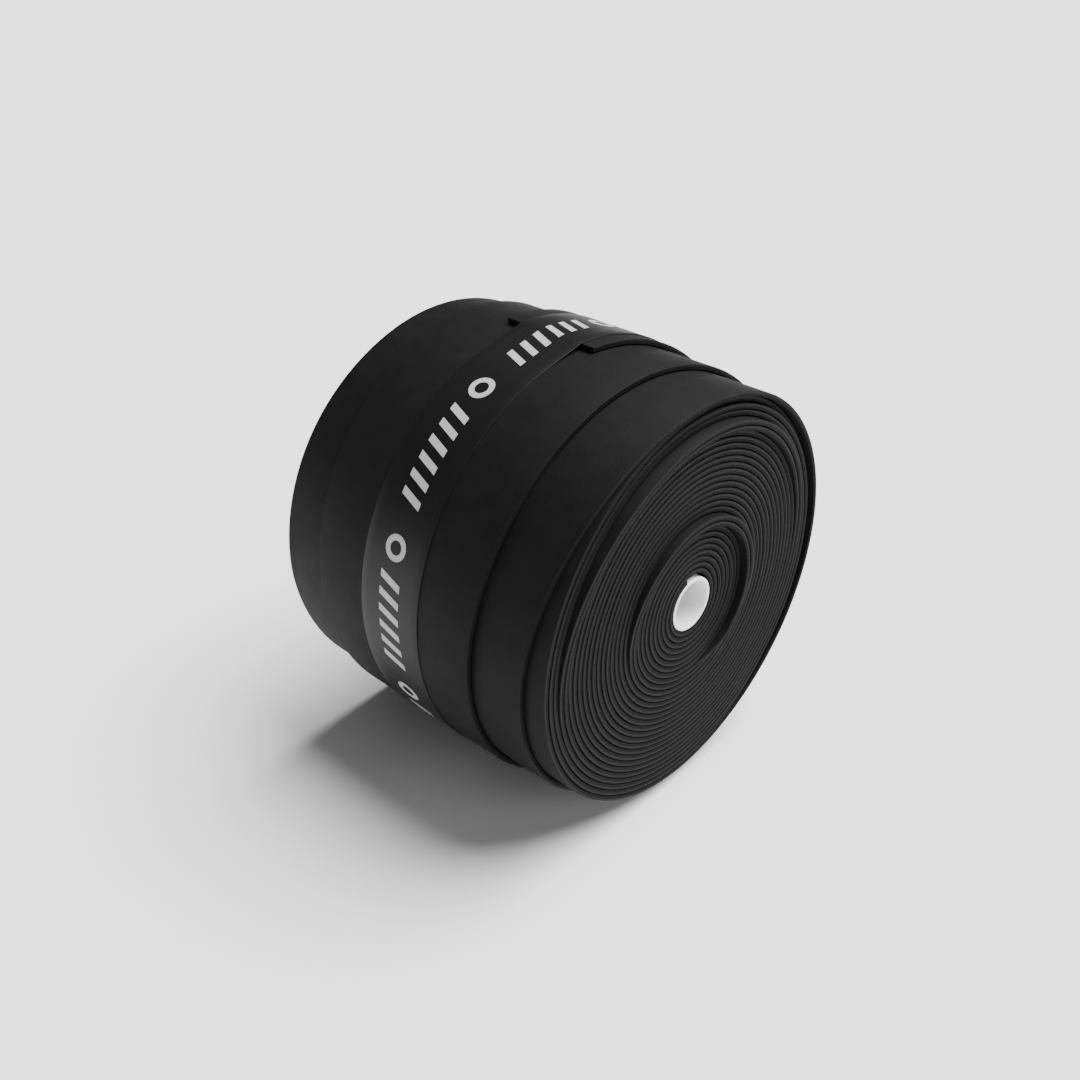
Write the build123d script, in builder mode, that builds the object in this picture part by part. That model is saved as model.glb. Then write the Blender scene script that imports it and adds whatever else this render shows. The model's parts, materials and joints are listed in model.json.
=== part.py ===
from build123d import *
import os
from math import acos, cos, degrees, radians, sin

# A roll of overgrip tape for racket handles, lying on its curved side.
# The tape is wound on a thin-walled core tube whose axis runs along X. The origin is on the surface that
# the roll lies on, under the middle of the tube. Angles are measured about the tube's axis, from +Y
# towards +Z, and the tape winds outwards as the angle grows. All dimensions are in millimetres.

# Tape
TAPE_WIDTH = 25.0
COVER_THICKNESS = 0.16  # smooth polyurethane face, on the outside of each turn
BACKING_THICKNESS = 0.24  # non-woven backing, on the inside of each turn
TURN_PITCH = 0.45  # radial growth in one turn, with the air between turns
FULL_TURNS = 30  # turns after the first, partial one
START_ANGLE = 250.0  # where the tape's inner end lies on the tube
HALF_TURN = 180.0
TOP_ANGLE = 90.0  # where the tape's outer end is cut off
TIP_LIFT = 0.09  # outward bulge of the last half turn over the starter patch

# Core tube
TUBE_RADIUS = 2.05
TUBE_BORE_RADIUS = 1.75
TUBE_LENGTH = 25.0
TUBE_CLEARANCE = 0.05  # running fit between the tube and the first turn
RIM_CHAMFER = 0.08

# Taper of the outer end, as a share of half the tape's width
HALF_WIDTH = TAPE_WIDTH / 2
TIP_LEFT = -0.40 * HALF_WIDTH
TIP_RIGHT = 0.24 * HALF_WIDTH
TAPERED_HALF_TURNS = 4

# Turns that stand out of the +X end, and so sink into the -X end: the first and last half turn of each
PROUD_HEIGHT = 0.45
PROUD_STRETCHES = ((16, 19), (47, 49), (56, 56))

# Starter patch under the tapered tip
ADHESIVE_THICKNESS = 0.07
LINER_THICKNESS = 0.05
PATCH_WIDTH = 6.8
PATCH_CENTRE = (TIP_LEFT + TIP_RIGHT) / 2
PATCH_START_ANGLE = 4.0
PATCH_END_ANGLE = 88.0

# Finishing tape round the middle
BAND_WIDTH = 5.6
BAND_CENTRE = -0.07 * HALF_WIDTH
BAND_THICKNESS = 0.12
BAND_CLEARANCE = 0.02
BAND_OVERLAP_START = -30.0
BAND_OVERLAP_END = 10.0

# The winding is a spiral of half-circles. Those on the +Y side share one centre, the tube's axis, and
# those on the -Y side share another, half a pitch lower, so every half turn meets the next one smoothly.
STEP = TURN_PITCH / 2
TAPE_THICKNESS = COVER_THICKNESS + BACKING_THICKNESS
FIRST_RADIUS = TUBE_RADIUS + TUBE_CLEARANCE
LAST_ARC = 2 * FULL_TURNS
FIRST_TAPERED_ARC = LAST_ARC - TAPERED_HALF_TURNS + 1
AXIS_HEIGHT = FIRST_RADIUS + LAST_ARC * STEP + TAPE_THICKNESS + BAND_CLEARANCE + BAND_THICKNESS


def arc_centre(arc):
    """Height of the centre of a half turn."""
    if arc == LAST_ARC:
        return AXIS_HEIGHT + TIP_LIFT
    return AXIS_HEIGHT if arc % 2 == 0 else AXIS_HEIGHT - STEP


def arc_radius(arc):
    """Radius of the inner surface of a half turn."""
    return FIRST_RADIUS + arc * STEP + (TIP_LIFT if arc == LAST_ARC else 0)


def arc_start(arc):
    """Angle at which a half turn begins. The first one also holds the stretch before the lowest point."""
    if arc == 0:
        return START_ANGLE
    return TOP_ANGLE if arc % 2 else TOP_ANGLE + HALF_TURN


def arc_size(arc):
    """Angle that a half turn covers."""
    return TOP_ANGLE + 2 * HALF_TURN - START_ANGLE if arc == 0 else HALF_TURN


def ring_sector(centre, inner, outer, start, size):
    """The section of a stretch of a ring."""
    with BuildSketch() as section:
        with BuildLine():
            inside = CenterArc((0, centre), inner, start, size)
            outside = CenterArc((0, centre), outer, start, size)
            Line(inside @ 0, outside @ 0)
            Line(inside @ 1, outside @ 1)
        make_face()
    return section.sketch


def spiral_ply(low, high, first, last):
    """The section of a ply from one half turn to another, low to high above the tape's inner surface."""
    with BuildSketch() as section:
        with BuildLine():
            for depth in (low, high):
                for arc in range(first, last + 1):
                    CenterArc((0, arc_centre(arc)), arc_radius(arc) + depth, arc_start(arc), arc_size(arc))
            for arc, angle in ((first, arc_start(first)), (last, arc_start(last) + arc_size(last))):
                along = Vector(cos(radians(angle)), sin(radians(angle)))
                centre = Vector(0, arc_centre(arc))
                Line(centre + along * (arc_radius(arc) + low), centre + along * (arc_radius(arc) + high))
        make_face()
    return section.sketch


def taper_edges(half_turns_left):
    """Left and right edge of the tape, that many half turns before its outer end."""
    share = half_turns_left / TAPERED_HALF_TURNS
    left = TIP_LEFT + (-HALF_WIDTH - TIP_LEFT) * share
    right = TIP_RIGHT + (HALF_WIDTH - TIP_RIGHT) * share
    return left, right


def tapered_half_turn(arc, low, high):
    """One half turn of the tapered end: a half ring between two slanted cuts."""
    left_before, right_before = taper_edges(LAST_ARC + 1 - arc)
    left_after, right_after = taper_edges(LAST_ARC - arc)
    reach = arc_radius(arc) + high
    bottom, top = arc_centre(arc) - reach, arc_centre(arc) + reach
    rising = arc % 2 == 0
    before, after = (bottom, top) if rising else (top, bottom)
    ring = ring_sector(arc_centre(arc), arc_radius(arc) + low, reach, arc_start(arc), arc_size(arc))
    with BuildPart() as half_turn:
        with BuildSketch(Plane.YZ.offset(-HALF_WIDTH)):
            add(ring)
        extrude(amount=TAPE_WIDTH)
        with BuildSketch(Plane.XZ):
            with BuildLine():
                Polyline(
                    (left_before, before),
                    (right_before, before),
                    (right_after, after),
                    (left_after, after),
                    close=True,
                )
            make_face()
        extrude(amount=reach, both=True, mode=Mode.INTERSECT)
    return half_turn.part


def wound_ply(low, high):
    """One ply of the tape, wound on the tube, with its tapered outer end."""
    coil = spiral_ply(low, high, 0, FIRST_TAPERED_ARC - 1)
    proud_turns = [spiral_ply(low, high, first, last) for first, last in PROUD_STRETCHES]
    tapered_end = [tapered_half_turn(arc, low, high) for arc in range(FIRST_TAPERED_ARC, LAST_ARC + 1)]
    with BuildPart() as ply:
        with BuildSketch(Plane.YZ.offset(-HALF_WIDTH)):
            add(coil)
        extrude(amount=TAPE_WIDTH)
        with BuildSketch(Plane.YZ.offset(HALF_WIDTH)):
            add(proud_turns)
        extrude(amount=PROUD_HEIGHT)
        with BuildSketch(Plane.YZ.offset(-HALF_WIDTH)):
            add(proud_turns)
        extrude(amount=PROUD_HEIGHT, mode=Mode.SUBTRACT)
        add(tapered_end)
    return ply


def band_outline(height):
    """The area inside the line that a tight band takes round the roll, at a height above the tape."""
    before, after = arc_centre(LAST_ARC - 1), arc_centre(LAST_ARC)
    before_radius = arc_radius(LAST_ARC - 1) + TAPE_THICKNESS + height
    after_radius = arc_radius(LAST_ARC) + TAPE_THICKNESS + height
    # Past the tape's cut end the band runs straight until it touches the turn below.
    touch = degrees(acos(before_radius / (after + after_radius - before)))
    with BuildSketch() as section:
        with BuildLine():
            over_tip = CenterArc((0, after), after_radius, -TOP_ANGLE, HALF_TURN)
            over_turn = CenterArc((0, before), before_radius, TOP_ANGLE + touch, HALF_TURN - touch)
            Line(over_tip @ 1, over_turn @ 0)
        make_face()
    return section.sketch


os.makedirs("parts", exist_ok=True)

with BuildPart() as core_tube:
    with BuildSketch(Plane.YZ.offset(-TUBE_LENGTH / 2)):
        with Locations((0, AXIS_HEIGHT)):
            Circle(TUBE_RADIUS)
            Circle(TUBE_BORE_RADIUS, mode=Mode.SUBTRACT)
    extrude(amount=TUBE_LENGTH)
    rims = core_tube.edges().filter_by(GeomType.CIRCLE).sort_by(SortBy.RADIUS)[-2:]
    chamfer(rims, length=RIM_CHAMFER)
core_tube.part.label = "core_tube"

grip_backing = wound_ply(0, BACKING_THICKNESS)
grip_backing.part.label = "grip_backing"

grip_cover = wound_ply(BACKING_THICKNESS, TAPE_THICKNESS)
grip_cover.part.label = "grip_cover"

patch_outer = arc_radius(LAST_ARC)
patch_middle = patch_outer - ADHESIVE_THICKNESS
patch_inner = patch_middle - LINER_THICKNESS
patch_size = PATCH_END_ANGLE - PATCH_START_ANGLE
adhesive_section = ring_sector(arc_centre(LAST_ARC), patch_middle, patch_outer, PATCH_START_ANGLE, patch_size)
liner_section = ring_sector(arc_centre(LAST_ARC), patch_inner, patch_middle, PATCH_START_ANGLE, patch_size)

with BuildPart() as starter_adhesive:
    with BuildSketch(Plane.YZ.offset(PATCH_CENTRE - PATCH_WIDTH / 2)):
        add(adhesive_section)
    extrude(amount=PATCH_WIDTH)
starter_adhesive.part.label = "starter_adhesive"

with BuildPart() as starter_liner:
    with BuildSketch(Plane.YZ.offset(PATCH_CENTRE - PATCH_WIDTH / 2)):
        add(liner_section)
    extrude(amount=PATCH_WIDTH)
starter_liner.part.label = "starter_liner"

# The band's outer end is stuck down over its inner end.
band_outside = band_outline(BAND_CLEARANCE + BAND_THICKNESS)
band_inside = band_outline(BAND_CLEARANCE)
band_inner_radius = patch_outer + TAPE_THICKNESS + BAND_CLEARANCE
band_overlap = ring_sector(
    arc_centre(LAST_ARC),
    band_inner_radius + BAND_THICKNESS / 2,
    band_inner_radius + 2 * BAND_THICKNESS,
    BAND_OVERLAP_START,
    BAND_OVERLAP_END - BAND_OVERLAP_START,
)

with BuildPart() as finishing_tape:
    with BuildSketch(Plane.YZ.offset(BAND_CENTRE - BAND_WIDTH / 2)):
        add(band_outside)
        add(band_inside, mode=Mode.SUBTRACT)
        add(band_overlap)
    extrude(amount=BAND_WIDTH)
finishing_tape.part.label = "finishing_tape"

for piece in (core_tube, grip_backing, grip_cover, starter_adhesive, starter_liner, finishing_tape):
    export_step(piece.part, f"parts/{piece.part.label}.step")
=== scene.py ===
import json
import math

import bpy
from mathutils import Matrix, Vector, noise


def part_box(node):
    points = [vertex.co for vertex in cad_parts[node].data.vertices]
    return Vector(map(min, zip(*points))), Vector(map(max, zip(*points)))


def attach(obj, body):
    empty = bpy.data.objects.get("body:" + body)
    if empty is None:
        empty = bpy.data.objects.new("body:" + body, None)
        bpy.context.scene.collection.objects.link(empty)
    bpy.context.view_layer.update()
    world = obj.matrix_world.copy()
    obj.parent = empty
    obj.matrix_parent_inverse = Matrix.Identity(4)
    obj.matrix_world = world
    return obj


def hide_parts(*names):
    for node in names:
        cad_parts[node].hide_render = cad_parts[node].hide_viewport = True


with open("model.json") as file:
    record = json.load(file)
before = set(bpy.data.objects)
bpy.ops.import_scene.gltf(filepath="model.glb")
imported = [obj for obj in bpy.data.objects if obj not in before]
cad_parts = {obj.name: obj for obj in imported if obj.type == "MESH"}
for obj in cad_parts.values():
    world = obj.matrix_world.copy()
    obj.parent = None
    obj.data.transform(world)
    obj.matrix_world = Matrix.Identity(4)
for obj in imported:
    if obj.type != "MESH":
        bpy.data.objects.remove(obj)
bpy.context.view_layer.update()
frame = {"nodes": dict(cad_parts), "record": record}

MM = 0.001
TURN = 2 * math.pi

# Places and sizes from the frame: the tube's axis, the tape's half width and the finishing tape.
TUBE_LOW, TUBE_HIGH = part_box("core_tube")
BAND_LOW, BAND_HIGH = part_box("finishing_tape")
AXIS_HEIGHT = (TUBE_LOW.z + TUBE_HIGH.z) / 2
TUBE_RADIUS = (TUBE_HIGH.z - TUBE_LOW.z) / 2
BORE_RADIUS = frame["record"]["mounts"][0]["dims"]["r_mm"] * MM
HALF_WIDTH = (TUBE_HIGH.x - TUBE_LOW.x) / 2
BAND_CENTRE = (BAND_LOW.x + BAND_HIGH.x) / 2

# The strip, two plies thick. It winds outwards as the angle grows from +Y towards +Z, and ends at the
# top of the roll.
COVER = 0.19 * MM
BACKING = 0.18 * MM
STRIP = COVER + BACKING
EDGE_ROUND = 0.045 * MM
PLY_ROUND = 0.015 * MM
BACKING_INSET = 0.012 * MM
START_ANGLE = math.radians(109)
TIP_ANGLE = math.radians(90)
TURNS = 31 + (TIP_ANGLE - START_ANGLE) / TURN
STEPS_PER_TURN = 144
STEPS_ACROSS = 3

# Near the tube the turns are round, with one step up over the strip's own start.
HUGGING_TURNS = 10
HUGGING_LAG = 0.347
STEP_SHARE = 0.25

# The core tube: the gap to the first turn, and its rounded rims as a share of the wall's thickness.
TUBE_CLEARANCE = 0.03 * MM
TUBE_RIM = 0.4
TUBE_STEPS = 96
TUBE_STEPS_ALONG = 8

# The finishing tape: a film once round the roll, with its end stuck over its start.
FILM = 0.05 * MM
FILM_GAP = 0.01 * MM
FILM_ROUND = 0.02 * MM
BAND_START = math.radians(-30)
BAND_OVERLAP = math.radians(40)
BAND_STEPS = 320
BAND_STEPS_ACROSS = 7
CLIMB = math.radians(5)

# The winding's pitch follows from its height: the roll rests on the finishing tape.
FIRST_RADIUS = TUBE_RADIUS + TUBE_CLEARANCE
PITCH = (AXIS_HEIGHT - FILM_GAP - FILM - STRIP - FIRST_RADIUS) / (TURNS - 0.5 - HUGGING_LAG)

# The tapered end: the edges at the cut, and how far each moves out in one turn back along the strip.
TIP_LEFT = -0.40 * HALF_WIDTH
TIP_RIGHT = 0.24 * HALF_WIDTH
TAPER_LEFT = 0.345 * HALF_WIDTH
TAPER_RIGHT = 0.385 * HALF_WIDTH

# Stretches that are wound sideways: from and to in turns, how far, and the ramp at each end.
SIDE_STEPS = (
    (8.46, 9.28, 0.50 * MM, 0.12, 0.28),
    (9.52, 10.30, 0.50 * MM, 0.20, 0.28),
    (23.64, 24.25, 0.70 * MM, 0.36, 0.25),
    (24.64, 25.25, 0.80 * MM, 0.36, 0.25),
    (27.45, 28.05, -0.40 * MM, 0.25, 0.25),
    (28.48, 29.12, 0.17 * MM, 0.25, 0.12),
)
# Where the right edge of the tapered end is cut in further, in the same terms.
TAPER_DIP = (29.05, 30.0, -0.55 * MM, 0.14, 0.6)

# The strip also wanders: how far to the side, how often in a turn, and where in the noise it starts.
DRIFT = (0.04 * MM, 0.83, 3.1)
FLUTTER = (0.015 * MM, 5.3, 9.4)

# The print, a generic mark that repeats along the finishing tape.
PRINT_LIFT = 0.012 * MM
PRINT_HEIGHT = 1.9 * MM
PRINT_REPEAT = math.radians(44)
PRINT_FIRST = math.radians(-66)
RING_PLACE = math.radians(5)
RING_OUTER, RING_INNER = 0.5, 0.27
RING_GRID = (48, 3)
BAR_COUNT = 6
BAR_FIRST = math.radians(13.5)
BAR_SPACING = math.radians(4.6)
BAR_WIDTH = math.radians(2.0)
BAR_SLANT = math.radians(2.4)
BAR_GRID = (5, 6)

# Rounded corners of the sections, and how sharp a crease has to be to stay an edge, in degrees.
CORNER_STEPS = 3
QUARTER = 90
CREASE = 40


# ------------------------------------------------------------------ the winding


def smooth_step(share):
    share = min(max(share, 0), 1)
    return share * share * (3 - 2 * share)


def winding_radius(turns):
    """Radius of the strip's inner surface after that many turns."""
    whole = math.floor(turns)
    part = turns - whole
    stepped = whole + smooth_step((part - 1 + STEP_SHARE) / STEP_SHARE)
    even = turns - HUGGING_LAG
    hugging = max(0, 1 - turns / HUGGING_TURNS)
    return FIRST_RADIUS + PITCH * (even + hugging * (stepped - even))


def side_step(turns, first, last, height, rise, fall):
    """How far one stretch lies to the side after that many turns."""
    return height * smooth_step((turns - first) / rise) * smooth_step((last - turns) / fall)


def side_shift(turns):
    """How far the strip lies to the side after that many turns."""
    shift = 0
    for reach, pace, row in (DRIFT, FLUTTER):
        shift += reach * noise.noise(Vector((turns * pace, row, 0)))
    for step in SIDE_STEPS:
        shift += side_step(turns, *step)
    return shift


def strip_edges(turns):
    """Left and right edge of the strip after that many turns."""
    back = TURNS - turns
    shift = side_shift(turns)
    left = max(-HALF_WIDTH, TIP_LEFT - TAPER_LEFT * back)
    right = min(HALF_WIDTH, TIP_RIGHT + TAPER_RIGHT * back)
    return left + shift, right + shift + side_step(turns, *TAPER_DIP)


def at(angle, radius, x):
    """The point at an angle and a distance from the tube's axis."""
    return Vector((x, radius * math.cos(angle), AXIS_HEIGHT + radius * math.sin(angle)))


# ------------------------------------------------------------------ mesh tools


def mesh_object(name, verts, faces):
    mesh = bpy.data.meshes.new(name)
    mesh.from_pydata([tuple(v) for v in verts], [], faces)
    mesh.polygons.foreach_set("use_smooth", [True] * len(mesh.polygons))
    mesh.set_sharp_from_angle(angle=math.radians(CREASE))
    piece = bpy.data.objects.new(name, mesh)
    bpy.context.scene.collection.objects.link(piece)
    return piece


def loft(name, loops, closed=False):
    """A closed mesh through loops of points, with flat ends, or joined end to start."""
    count = len(loops[0])
    rings = len(loops)
    verts = [point for loop in loops for point in loop]
    faces = []
    for ring in range(rings if closed else rings - 1):
        here, there = ring * count, (ring + 1) % rings * count
        for i in range(count):
            j = (i + 1) % count
            faces.append((here + i, here + j, there + j, there + i))
    if not closed:
        faces.append(tuple(reversed(range(count))))
        faces.append(tuple(range((rings - 1) * count, rings * count)))
    return mesh_object(name, verts, faces)


def corner(x, radius, size, start):
    """Points (x, radius) round a corner of a section, over a quarter turn from an angle in degrees."""
    turns = [math.radians(start + QUARTER / CORNER_STEPS * step) for step in range(CORNER_STEPS + 1)]
    return [(x + size * math.cos(turn), radius + size * math.sin(turn)) for turn in turns]


def strip_section(left, right, inner, outer, inner_round, outer_round, across):
    """Points (x, radius) round a strip's section, with rounded edges."""
    points = corner(right - inner_round, inner + inner_round, inner_round, -QUARTER)
    points += corner(right - outer_round, outer - outer_round, outer_round, 0)
    start, end = right - outer_round, left + outer_round
    points += [(start + (end - start) * step / (across + 1), outer) for step in range(1, across + 1)]
    points += corner(left + outer_round, outer - outer_round, outer_round, QUARTER)
    points += corner(left + inner_round, inner + inner_round, inner_round, 2 * QUARTER)
    return points


# ------------------------------------------------------------------ the pieces


def wound_ply(name, low, high, low_round, high_round, inset):
    """One ply of the strip, low to high above its inner surface, its edges set in by inset."""
    loops = []
    count = round(TURNS * STEPS_PER_TURN)
    for step in range(count + 1):
        turns = TURNS * step / count
        left, right = strip_edges(turns)
        radius = winding_radius(turns)
        inner, outer = radius + low, radius + high
        section = strip_section(
            left + inset, right - inset, inner, outer, low_round, high_round, STEPS_ACROSS
        )
        loops.append([at(START_ANGLE + turns * TURN, r, x) for x, r in section])
    return loft(name, loops)


def roll_surface(angle, turns_back):
    """Radius of the roll's outer surface at an angle from the tip, some turns before it."""
    return winding_radius(TURNS - turns_back + (angle - TIP_ANGLE) / TURN) + STRIP


TIP_SURFACE = roll_surface(TIP_ANGLE, 0)
TENT = math.acos((TIP_SURFACE - PITCH) / (TIP_SURFACE + FILM_GAP))


def band_radius(angle):
    """Radius of the finishing tape's inner surface, from its start to its end one turn and a bit later."""
    part = angle - TIP_ANGLE
    if part <= 0:
        radius = roll_surface(angle, 0)
    elif part < TENT:
        # Past the strip's cut end the film runs straight down to the turn below.
        low = roll_surface(TIP_ANGLE + TENT, 1)
        across = TIP_SURFACE * math.sin(part) + low * math.sin(TENT - part)
        radius = TIP_SURFACE * low * math.sin(TENT) / across
    else:
        radius = roll_surface(angle, 1)
    climb = smooth_step((angle - BAND_START - TURN) / CLIMB + 1)
    return radius + FILM_GAP + climb * (FILM + FILM_GAP)


def finishing_film():
    """The finishing tape, from its start to its end one turn and a bit later."""
    loops = []
    for step in range(BAND_STEPS + 1):
        angle = BAND_START + (TURN + BAND_OVERLAP) * step / BAND_STEPS
        inner, outer = band_radius(angle), band_radius(angle) + FILM
        section = strip_section(
            BAND_LOW.x, BAND_HIGH.x, inner, outer, FILM_ROUND / 2, FILM_ROUND, BAND_STEPS_ACROSS
        )
        loops.append([at(angle, r, x) for x, r in section])
    return loft("finishing_tape_film", loops)


def on_band(angle, across):
    """A point of the print: an angle along the finishing tape, and a place across it in print heights."""
    return at(angle, band_radius(angle) + FILM + PRINT_LIFT, BAND_CENTRE + across * PRINT_HEIGHT)


def printed_grid(verts, faces, point_of, grid):
    """Adds a patch of the print, as a grid fine enough to follow the film."""
    base = len(verts)
    along, across = grid
    for i in range(along + 1):
        verts += [on_band(*point_of(i / along, j / across)) for j in range(across + 1)]
    for i in range(along):
        for j in range(across):
            first = base + i * (across + 1) + j
            faces.append((first, first + across + 1, first + across + 2, first + 1))


def print_marks():
    """A ring and a row of slanted bars, again and again along the finishing tape."""
    verts, faces = [], []
    band_end = BAND_START + TURN + BAND_OVERLAP
    height_angle = PRINT_HEIGHT / TIP_SURFACE
    ring_reach = RING_OUTER * height_angle
    bar_reach = (BAR_WIDTH + BAR_SLANT) / 2

    def ring(along, across):
        turn = TURN * along
        radius = RING_INNER + (RING_OUTER - RING_INNER) * across
        return middle + radius * height_angle * math.cos(turn), radius * math.sin(turn)

    def bar(along, across):
        return middle + BAR_WIDTH * (along - 0.5) + BAR_SLANT * (across - 0.5), across - 0.5

    for mark in range(math.ceil((TURN + BAND_OVERLAP) / PRINT_REPEAT) + 1):
        first = PRINT_FIRST + PRINT_REPEAT * mark
        middle = first + RING_PLACE
        if BAND_START + ring_reach < middle < band_end - ring_reach:
            printed_grid(verts, faces, ring, RING_GRID)
        for number in range(BAR_COUNT):
            middle = first + BAR_FIRST + BAR_SPACING * number
            if BAND_START + bar_reach < middle < band_end - bar_reach:
                printed_grid(verts, faces, bar, BAR_GRID)
    return mesh_object("finishing_tape_print", verts, faces)


def tube_wall():
    """The core tube: its wall's section, with rounded rims, turned about the axis."""
    rim = (TUBE_RADIUS - BORE_RADIUS) * TUBE_RIM
    length = TUBE_HIGH.x - TUBE_LOW.x
    along = [length * step / (TUBE_STEPS_ALONG + 1) for step in range(1, TUBE_STEPS_ALONG + 1)]
    section = corner(TUBE_HIGH.x - rim, BORE_RADIUS + rim, rim, -QUARTER)
    section += corner(TUBE_HIGH.x - rim, TUBE_RADIUS - rim, rim, 0)
    section += [(TUBE_HIGH.x - step, TUBE_RADIUS) for step in along]
    section += corner(TUBE_LOW.x + rim, TUBE_RADIUS - rim, rim, QUARTER)
    section += corner(TUBE_LOW.x + rim, BORE_RADIUS + rim, rim, 2 * QUARTER)
    section += [(TUBE_LOW.x + step, BORE_RADIUS) for step in along]
    loops = [[at(TURN * step / TUBE_STEPS, r, x) for x, r in section] for step in range(TUBE_STEPS)]
    return loft("core_tube_wall", loops, closed=True)


# ------------------------------------------------------------------ materials

# The scale of a grain is in features per metre. A ramp runs between two shares of its grain.
RAMP_ENDS = (0.3, 0.7)
FILM_BLUE = 1.08


def material(name, colour, roughness, specular=0.5):
    made = bpy.data.materials.new(name)
    made.use_nodes = True
    shader = made.node_tree.nodes["Principled BSDF"]
    shader.inputs["Base Color"].default_value = (*colour, 1)
    shader.inputs["Roughness"].default_value = roughness
    shader.inputs["Specular IOR Level"].default_value = specular
    return made


def link(made, source, output, target, socket):
    made.node_tree.links.new(source.outputs[output], target.inputs[socket])


def to_shader(made, source, output, socket):
    link(made, source, output, made.node_tree.nodes["Principled BSDF"], socket)


def grain(made, scale, detail=2.0, stretch=(1, 1, 1)):
    """Noise in the model's own space, stretched along its axes."""
    nodes = made.node_tree.nodes
    coordinates = nodes.new("ShaderNodeTexCoord")
    mapping = nodes.new("ShaderNodeMapping")
    mapping.inputs["Scale"].default_value = stretch
    link(made, coordinates, "Object", mapping, "Vector")
    texture = nodes.new("ShaderNodeTexNoise")
    texture.inputs["Scale"].default_value = scale
    texture.inputs["Detail"].default_value = detail
    link(made, mapping, "Vector", texture, "Vector")
    return texture


def vary_roughness(made, source, low, high):
    ranged = made.node_tree.nodes.new("ShaderNodeMapRange")
    ranged.inputs["To Min"].default_value = low
    ranged.inputs["To Max"].default_value = high
    link(made, source, "Fac", ranged, "Value")
    to_shader(made, ranged, "Result", "Roughness")


def vary_colour(made, source, dark, light):
    """Mixes two colours by a grain."""
    ramp = made.node_tree.nodes.new("ShaderNodeValToRGB")
    for element, position, tone in zip(ramp.color_ramp.elements, RAMP_ENDS, (dark, light)):
        element.position = position
        element.color = (*tone, 1)
    link(made, source, "Fac", ramp, "Fac")
    to_shader(made, ramp, "Color", "Base Color")


def emboss(made, *layers):
    """Stacks bumps, each a grain and its depth."""
    below = None
    for source, depth in layers:
        layer = made.node_tree.nodes.new("ShaderNodeBump")
        layer.inputs["Distance"].default_value = depth
        link(made, source, "Fac", layer, "Height")
        if below:
            link(made, below, "Normal", layer, "Normal")
        below = layer
    to_shader(made, below, "Normal", "Normal")


def grey(level, blue=1.0):
    """A grey colour, with its blue a little stronger or weaker than the rest."""
    return (level, level, level * blue)


def polyurethane():
    made = material("polyurethane", grey(0.006), 0.65, 0.1)
    fine = grain(made, 9000)
    coarse = grain(made, 800)
    vary_colour(made, coarse, grey(0.0054), grey(0.0066))
    vary_roughness(made, coarse, 0.56, 0.7)
    emboss(made, (coarse, 0.02 * MM), (fine, 0.012 * MM))
    return made


def nonwoven():
    made = material("nonwoven", grey(0.006), 0.9, 0.1)
    fibres = grain(made, 5000, 6.0, (0.4, 1, 1))
    vary_colour(made, fibres, grey(0.0045), grey(0.0075))
    emboss(made, (fibres, 0.03 * MM))
    return made


def film():
    made = material("finishing_film", grey(0.006, FILM_BLUE), 0.42, 0.17)
    streaks = grain(made, 1.0, 3.0, (9000, 250, 250))
    vary_colour(made, streaks, grey(0.0053, FILM_BLUE), grey(0.0067, FILM_BLUE))
    vary_roughness(made, streaks, 0.37, 0.48)
    emboss(made, (streaks, 0.005 * MM))
    return made


def ink():
    made = material("print_ink", grey(0.4), 0.45)
    speckle = grain(made, 12000, 3.0)
    vary_colour(made, speckle, grey(0.37), grey(0.43))
    return made


def white_plastic():
    made = material("white_plastic", grey(0.8), 0.35)
    draw_lines = grain(made, 1.0, 2.0, (200, 6000, 6000))
    vary_colour(made, draw_lines, grey(0.76), grey(0.84))
    emboss(made, (draw_lines, 0.008 * MM))
    return made


def adhesive():
    made = material("starter_adhesive", (0.7, 0.68, 0.58), 0.25)
    vary_colour(made, grain(made, 3000), (0.66, 0.64, 0.54), (0.74, 0.72, 0.62))
    return made


def liner_paper():
    made = material("starter_liner", (0.8, 0.78, 0.7), 0.5)
    vary_colour(made, grain(made, 6000, 4.0), (0.75, 0.73, 0.65), (0.83, 0.81, 0.73))
    return made


def clad(piece, made):
    piece.data.materials.clear()
    piece.data.materials.append(made)


# ------------------------------------------------------------------ the roll


def dress(piece, made, body, slot, *replaced):
    """Gives a piece its material and its body, and hides the CAD nodes that it stands for."""
    clad(piece, made)
    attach(piece, body)
    if replaced:
        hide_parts(*replaced)


cover = wound_ply("grip_cover_face", BACKING, STRIP, PLY_ROUND, EDGE_ROUND, 0)
backing = wound_ply("grip_backing_felt", 0, BACKING, EDGE_ROUND, PLY_ROUND, BACKING_INSET)
dress(cover, polyurethane(), "roll", "polyurethane", "grip_cover")
dress(backing, nonwoven(), "roll", "nonwoven", "grip_backing")
dress(finishing_film(), film(), "roll", "finishing_film", "finishing_tape")
dress(print_marks(), ink(), "roll", "finishing_film")
dress(tube_wall(), white_plastic(), "core", "white_plastic", "core_tube")
clad(frame["nodes"]["starter_adhesive"], adhesive())
clad(frame["nodes"]["starter_liner"], liner_paper())


# ------------------------------------------------------------------ the studio

FLOOR_SIZE = 30.0
FLOOR_TONE = 0.9
WORLD_STRENGTH = 0.1
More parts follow.
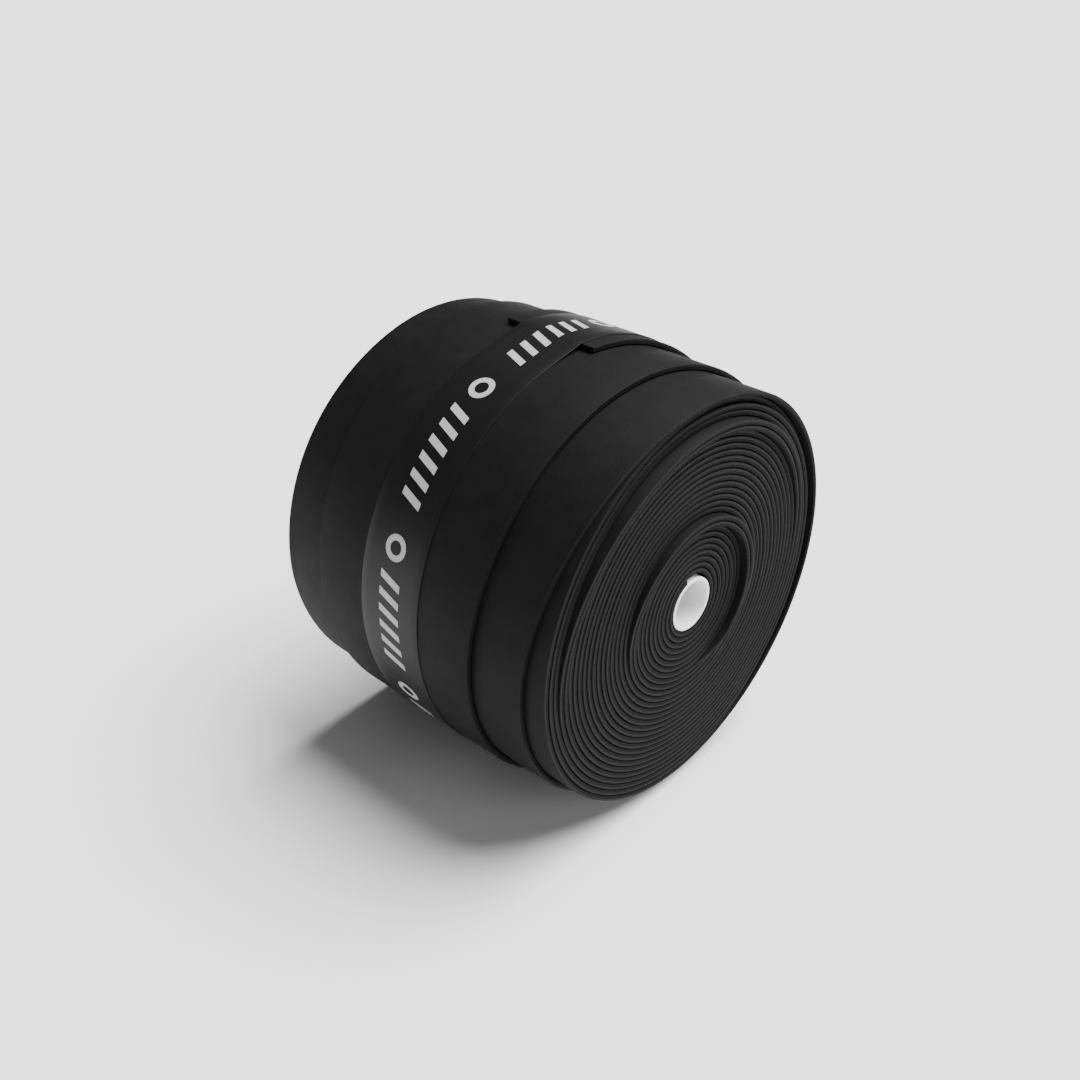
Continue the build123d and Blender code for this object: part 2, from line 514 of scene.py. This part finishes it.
# Each soft sun: where it shines from, its strength, and how wide it is in degrees.
SUNS = {
    "key": ((0.25, 0.42, 0.87), 9.8, 50),
    "side": ((0.95, 0.05, 0.22), 1.6, 50),
}
CAMERA_AZIMUTH = math.radians(43.06)
CAMERA_ELEVATION = math.radians(31.76)
CAMERA_LENS = 40.12
CAMERA_DISTANCE = 7.25 * HALF_WIDTH
CAMERA_RIGHT = -0.1121 * HALF_WIDTH
CAMERA_UP = -0.0023 * HALF_WIDTH


def pale_floor():
    half = FLOOR_SIZE / 2
    corners = [(-half, -half, 0), (half, -half, 0), (half, half, 0), (-half, half, 0)]
    floor = mesh_object("studio_floor", corners, [(0, 1, 2, 3)])
    clad(floor, material("studio_floor", grey(FLOOR_TONE), 0.9, 0.1))


def soft_sun(name, source, strength, width):
    lamp = bpy.data.lights.new(name, "SUN")
    lamp.energy = strength
    lamp.angle = math.radians(width)
    holder = bpy.data.objects.new(name, lamp)
    holder.rotation_euler = Vector(source).to_track_quat("Z", "Y").to_euler()
    bpy.context.scene.collection.objects.link(holder)


def studio_world():
    world = bpy.data.worlds.new("studio")
    world.use_nodes = True
    background = world.node_tree.nodes["Background"]
    background.inputs["Color"].default_value = (1, 1, 1, 1)
    background.inputs["Strength"].default_value = WORLD_STRENGTH
    bpy.context.scene.world = world


def aim_camera():
    """Looks at the roll's middle from outside, shifted a little within the picture's plane."""
    along, across = math.cos(CAMERA_AZIMUTH), math.sin(CAMERA_AZIMUTH)
    level = math.cos(CAMERA_ELEVATION)
    back = Vector((across * level, -along * level, math.sin(CAMERA_ELEVATION)))
    right = Vector((along, across, 0))
    lens = bpy.data.cameras.new("camera")
    lens.lens = CAMERA_LENS
    lens.clip_start = MM
    camera = bpy.data.objects.new("camera", lens)
    camera.location = Vector((0, 0, AXIS_HEIGHT)) + back * CAMERA_DISTANCE
    camera.location += right * CAMERA_RIGHT + back.cross(right) * CAMERA_UP
    camera.rotation_euler = back.to_track_quat("Z", "Y").to_euler()
    bpy.context.scene.collection.objects.link(camera)
    bpy.context.scene.camera = camera


pale_floor()
studio_world()
for sun, settings in SUNS.items():
    soft_sun(sun, *settings)
aim_camera()
